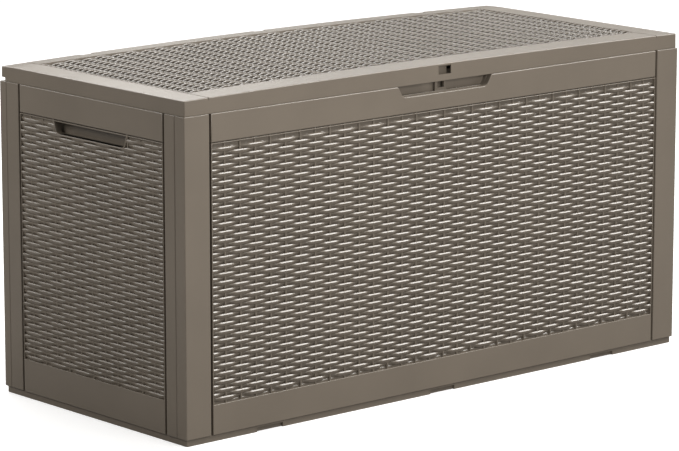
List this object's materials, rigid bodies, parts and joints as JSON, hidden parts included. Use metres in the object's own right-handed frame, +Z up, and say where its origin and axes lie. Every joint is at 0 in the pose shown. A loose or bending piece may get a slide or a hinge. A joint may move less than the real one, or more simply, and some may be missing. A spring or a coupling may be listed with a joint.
{
  "type": "deck storage box",
  "caption": "Long lidded outdoor storage chest in woven-look resin, with corner posts, a rear-hinged crowned lid, gas struts, hand pockets and a padlock hasp.",
  "frame": {"origin": "on the ground, under the middle of the box", "axes": "+X to the right along the length, the front with the finger recess faces -Y, +Z up"},
  "size_m": [1.22, 0.537, 0.6191],
  "materials": {
    "taupe_resin": "satin moulded polypropylene, warm taupe, woven relief on the panels and the lid",
    "inner_resin": "fine matt moulded polypropylene, slightly darker taupe, inside the lid",
    "zinc_steel": "bright zinc-plated steel",
    "black_paint": "satin black paint on the strut cylinders",
    "polished_rod": "polished hard-chromed rod"
  },
  "bodies": {
    "box": {"base_tray": "taupe_resin", "front_panel": "taupe_resin", "back_panel": "taupe_resin", "left_panel": "taupe_resin", "right_panel": "taupe_resin", "post_front_left": "taupe_resin", "post_front_right": "taupe_resin", "post_back_left": "taupe_resin", "post_back_right": "taupe_resin", "lock_hasp": "taupe_resin", "hinge_bracket_left": "taupe_resin", "hinge_bracket_middle": "taupe_resin", "hinge_bracket_right": "taupe_resin", "hinge_pin_left": "zinc_steel", "hinge_pin_middle": "zinc_steel", "hinge_pin_right": "zinc_steel", "hinge_bracket_screw_1": "zinc_steel", "hinge_bracket_screw_2": "zinc_steel", "hinge_bracket_screw_3": "zinc_steel", "hinge_bracket_screw_4": "zinc_steel", "hinge_bracket_screw_5": "zinc_steel", "hinge_bracket_screw_6": "zinc_steel", "strut_foot_bracket_left": "zinc_steel", "strut_foot_bracket_right": "zinc_steel", "foot_bracket_screw_left_1": "zinc_steel", "foot_bracket_screw_left_2": "zinc_steel", "foot_bracket_screw_right_1": "zinc_steel", "foot_bracket_screw_right_2": "zinc_steel"},
    "lid": {"lid_shell": "taupe_resin", "lid_liner": "inner_resin", "hinge_leaf_left": "taupe_resin", "hinge_leaf_middle": "taupe_resin", "hinge_leaf_right": "taupe_resin", "hinge_leaf_screw_1": "zinc_steel", "hinge_leaf_screw_2": "zinc_steel", "hinge_leaf_screw_3": "zinc_steel", "hinge_leaf_screw_4": "zinc_steel", "hinge_leaf_screw_5": "zinc_steel", "hinge_leaf_screw_6": "zinc_steel", "strut_head_bracket_left": "zinc_steel", "strut_head_bracket_right": "zinc_steel", "head_bracket_screw_1": "zinc_steel", "head_bracket_screw_2": "zinc_steel", "head_bracket_screw_3": "zinc_steel", "head_bracket_screw_4": "zinc_steel"},
    "strut_cylinder_left": {"strut_cylinder_left": "black_paint"},
    "strut_rod_left": {"strut_rod_left": "polished_rod"},
    "strut_cylinder_right": {"strut_cylinder_right": "black_paint"},
    "strut_rod_right": {"strut_rod_right": "polished_rod"}
  },
  "joints": [
    {"name": "lid_hinge", "type": "hinge", "parent": "box", "child": "lid", "pos_m": [0, 0.2565, 0.6], "axis": [-1, 0, 0], "range_deg": [0, 95]},
    {"name": "strut_pivot_left", "type": "hinge", "parent": "box", "child": "strut_cylinder_left", "pos_m": [-0.56, 0.1815, 0.338], "axis": [-1, 0, 0], "range_deg": [0, 10.73]},
    {"name": "strut_slide_left", "type": "slide", "parent": "strut_cylinder_left", "child": "strut_rod_left", "axis": [0, -0.0434, 0.9991], "range_m": [0, 0.12298]},
    {"name": "strut_pivot_right", "type": "hinge", "parent": "box", "child": "strut_cylinder_right", "pos_m": [0.56, 0.1815, 0.338], "axis": [-1, 0, 0], "range_deg": [0, 10.73]},
    {"name": "strut_slide_right", "type": "slide", "parent": "strut_cylinder_right", "child": "strut_rod_right", "axis": [0, -0.0434, 0.9991], "range_m": [0, 0.12298]}
  ],
  "couplings": [
    {"joint": "strut_pivot_left", "follows": "lid_hinge", "ratio": 0.11281},
    {"joint": "strut_slide_left", "follows": "lid_hinge", "m_per_rad": 0.074112},
    {"joint": "strut_pivot_right", "follows": "lid_hinge", "ratio": 0.11281},
    {"joint": "strut_slide_right", "follows": "lid_hinge", "m_per_rad": 0.074112}
  ]
}
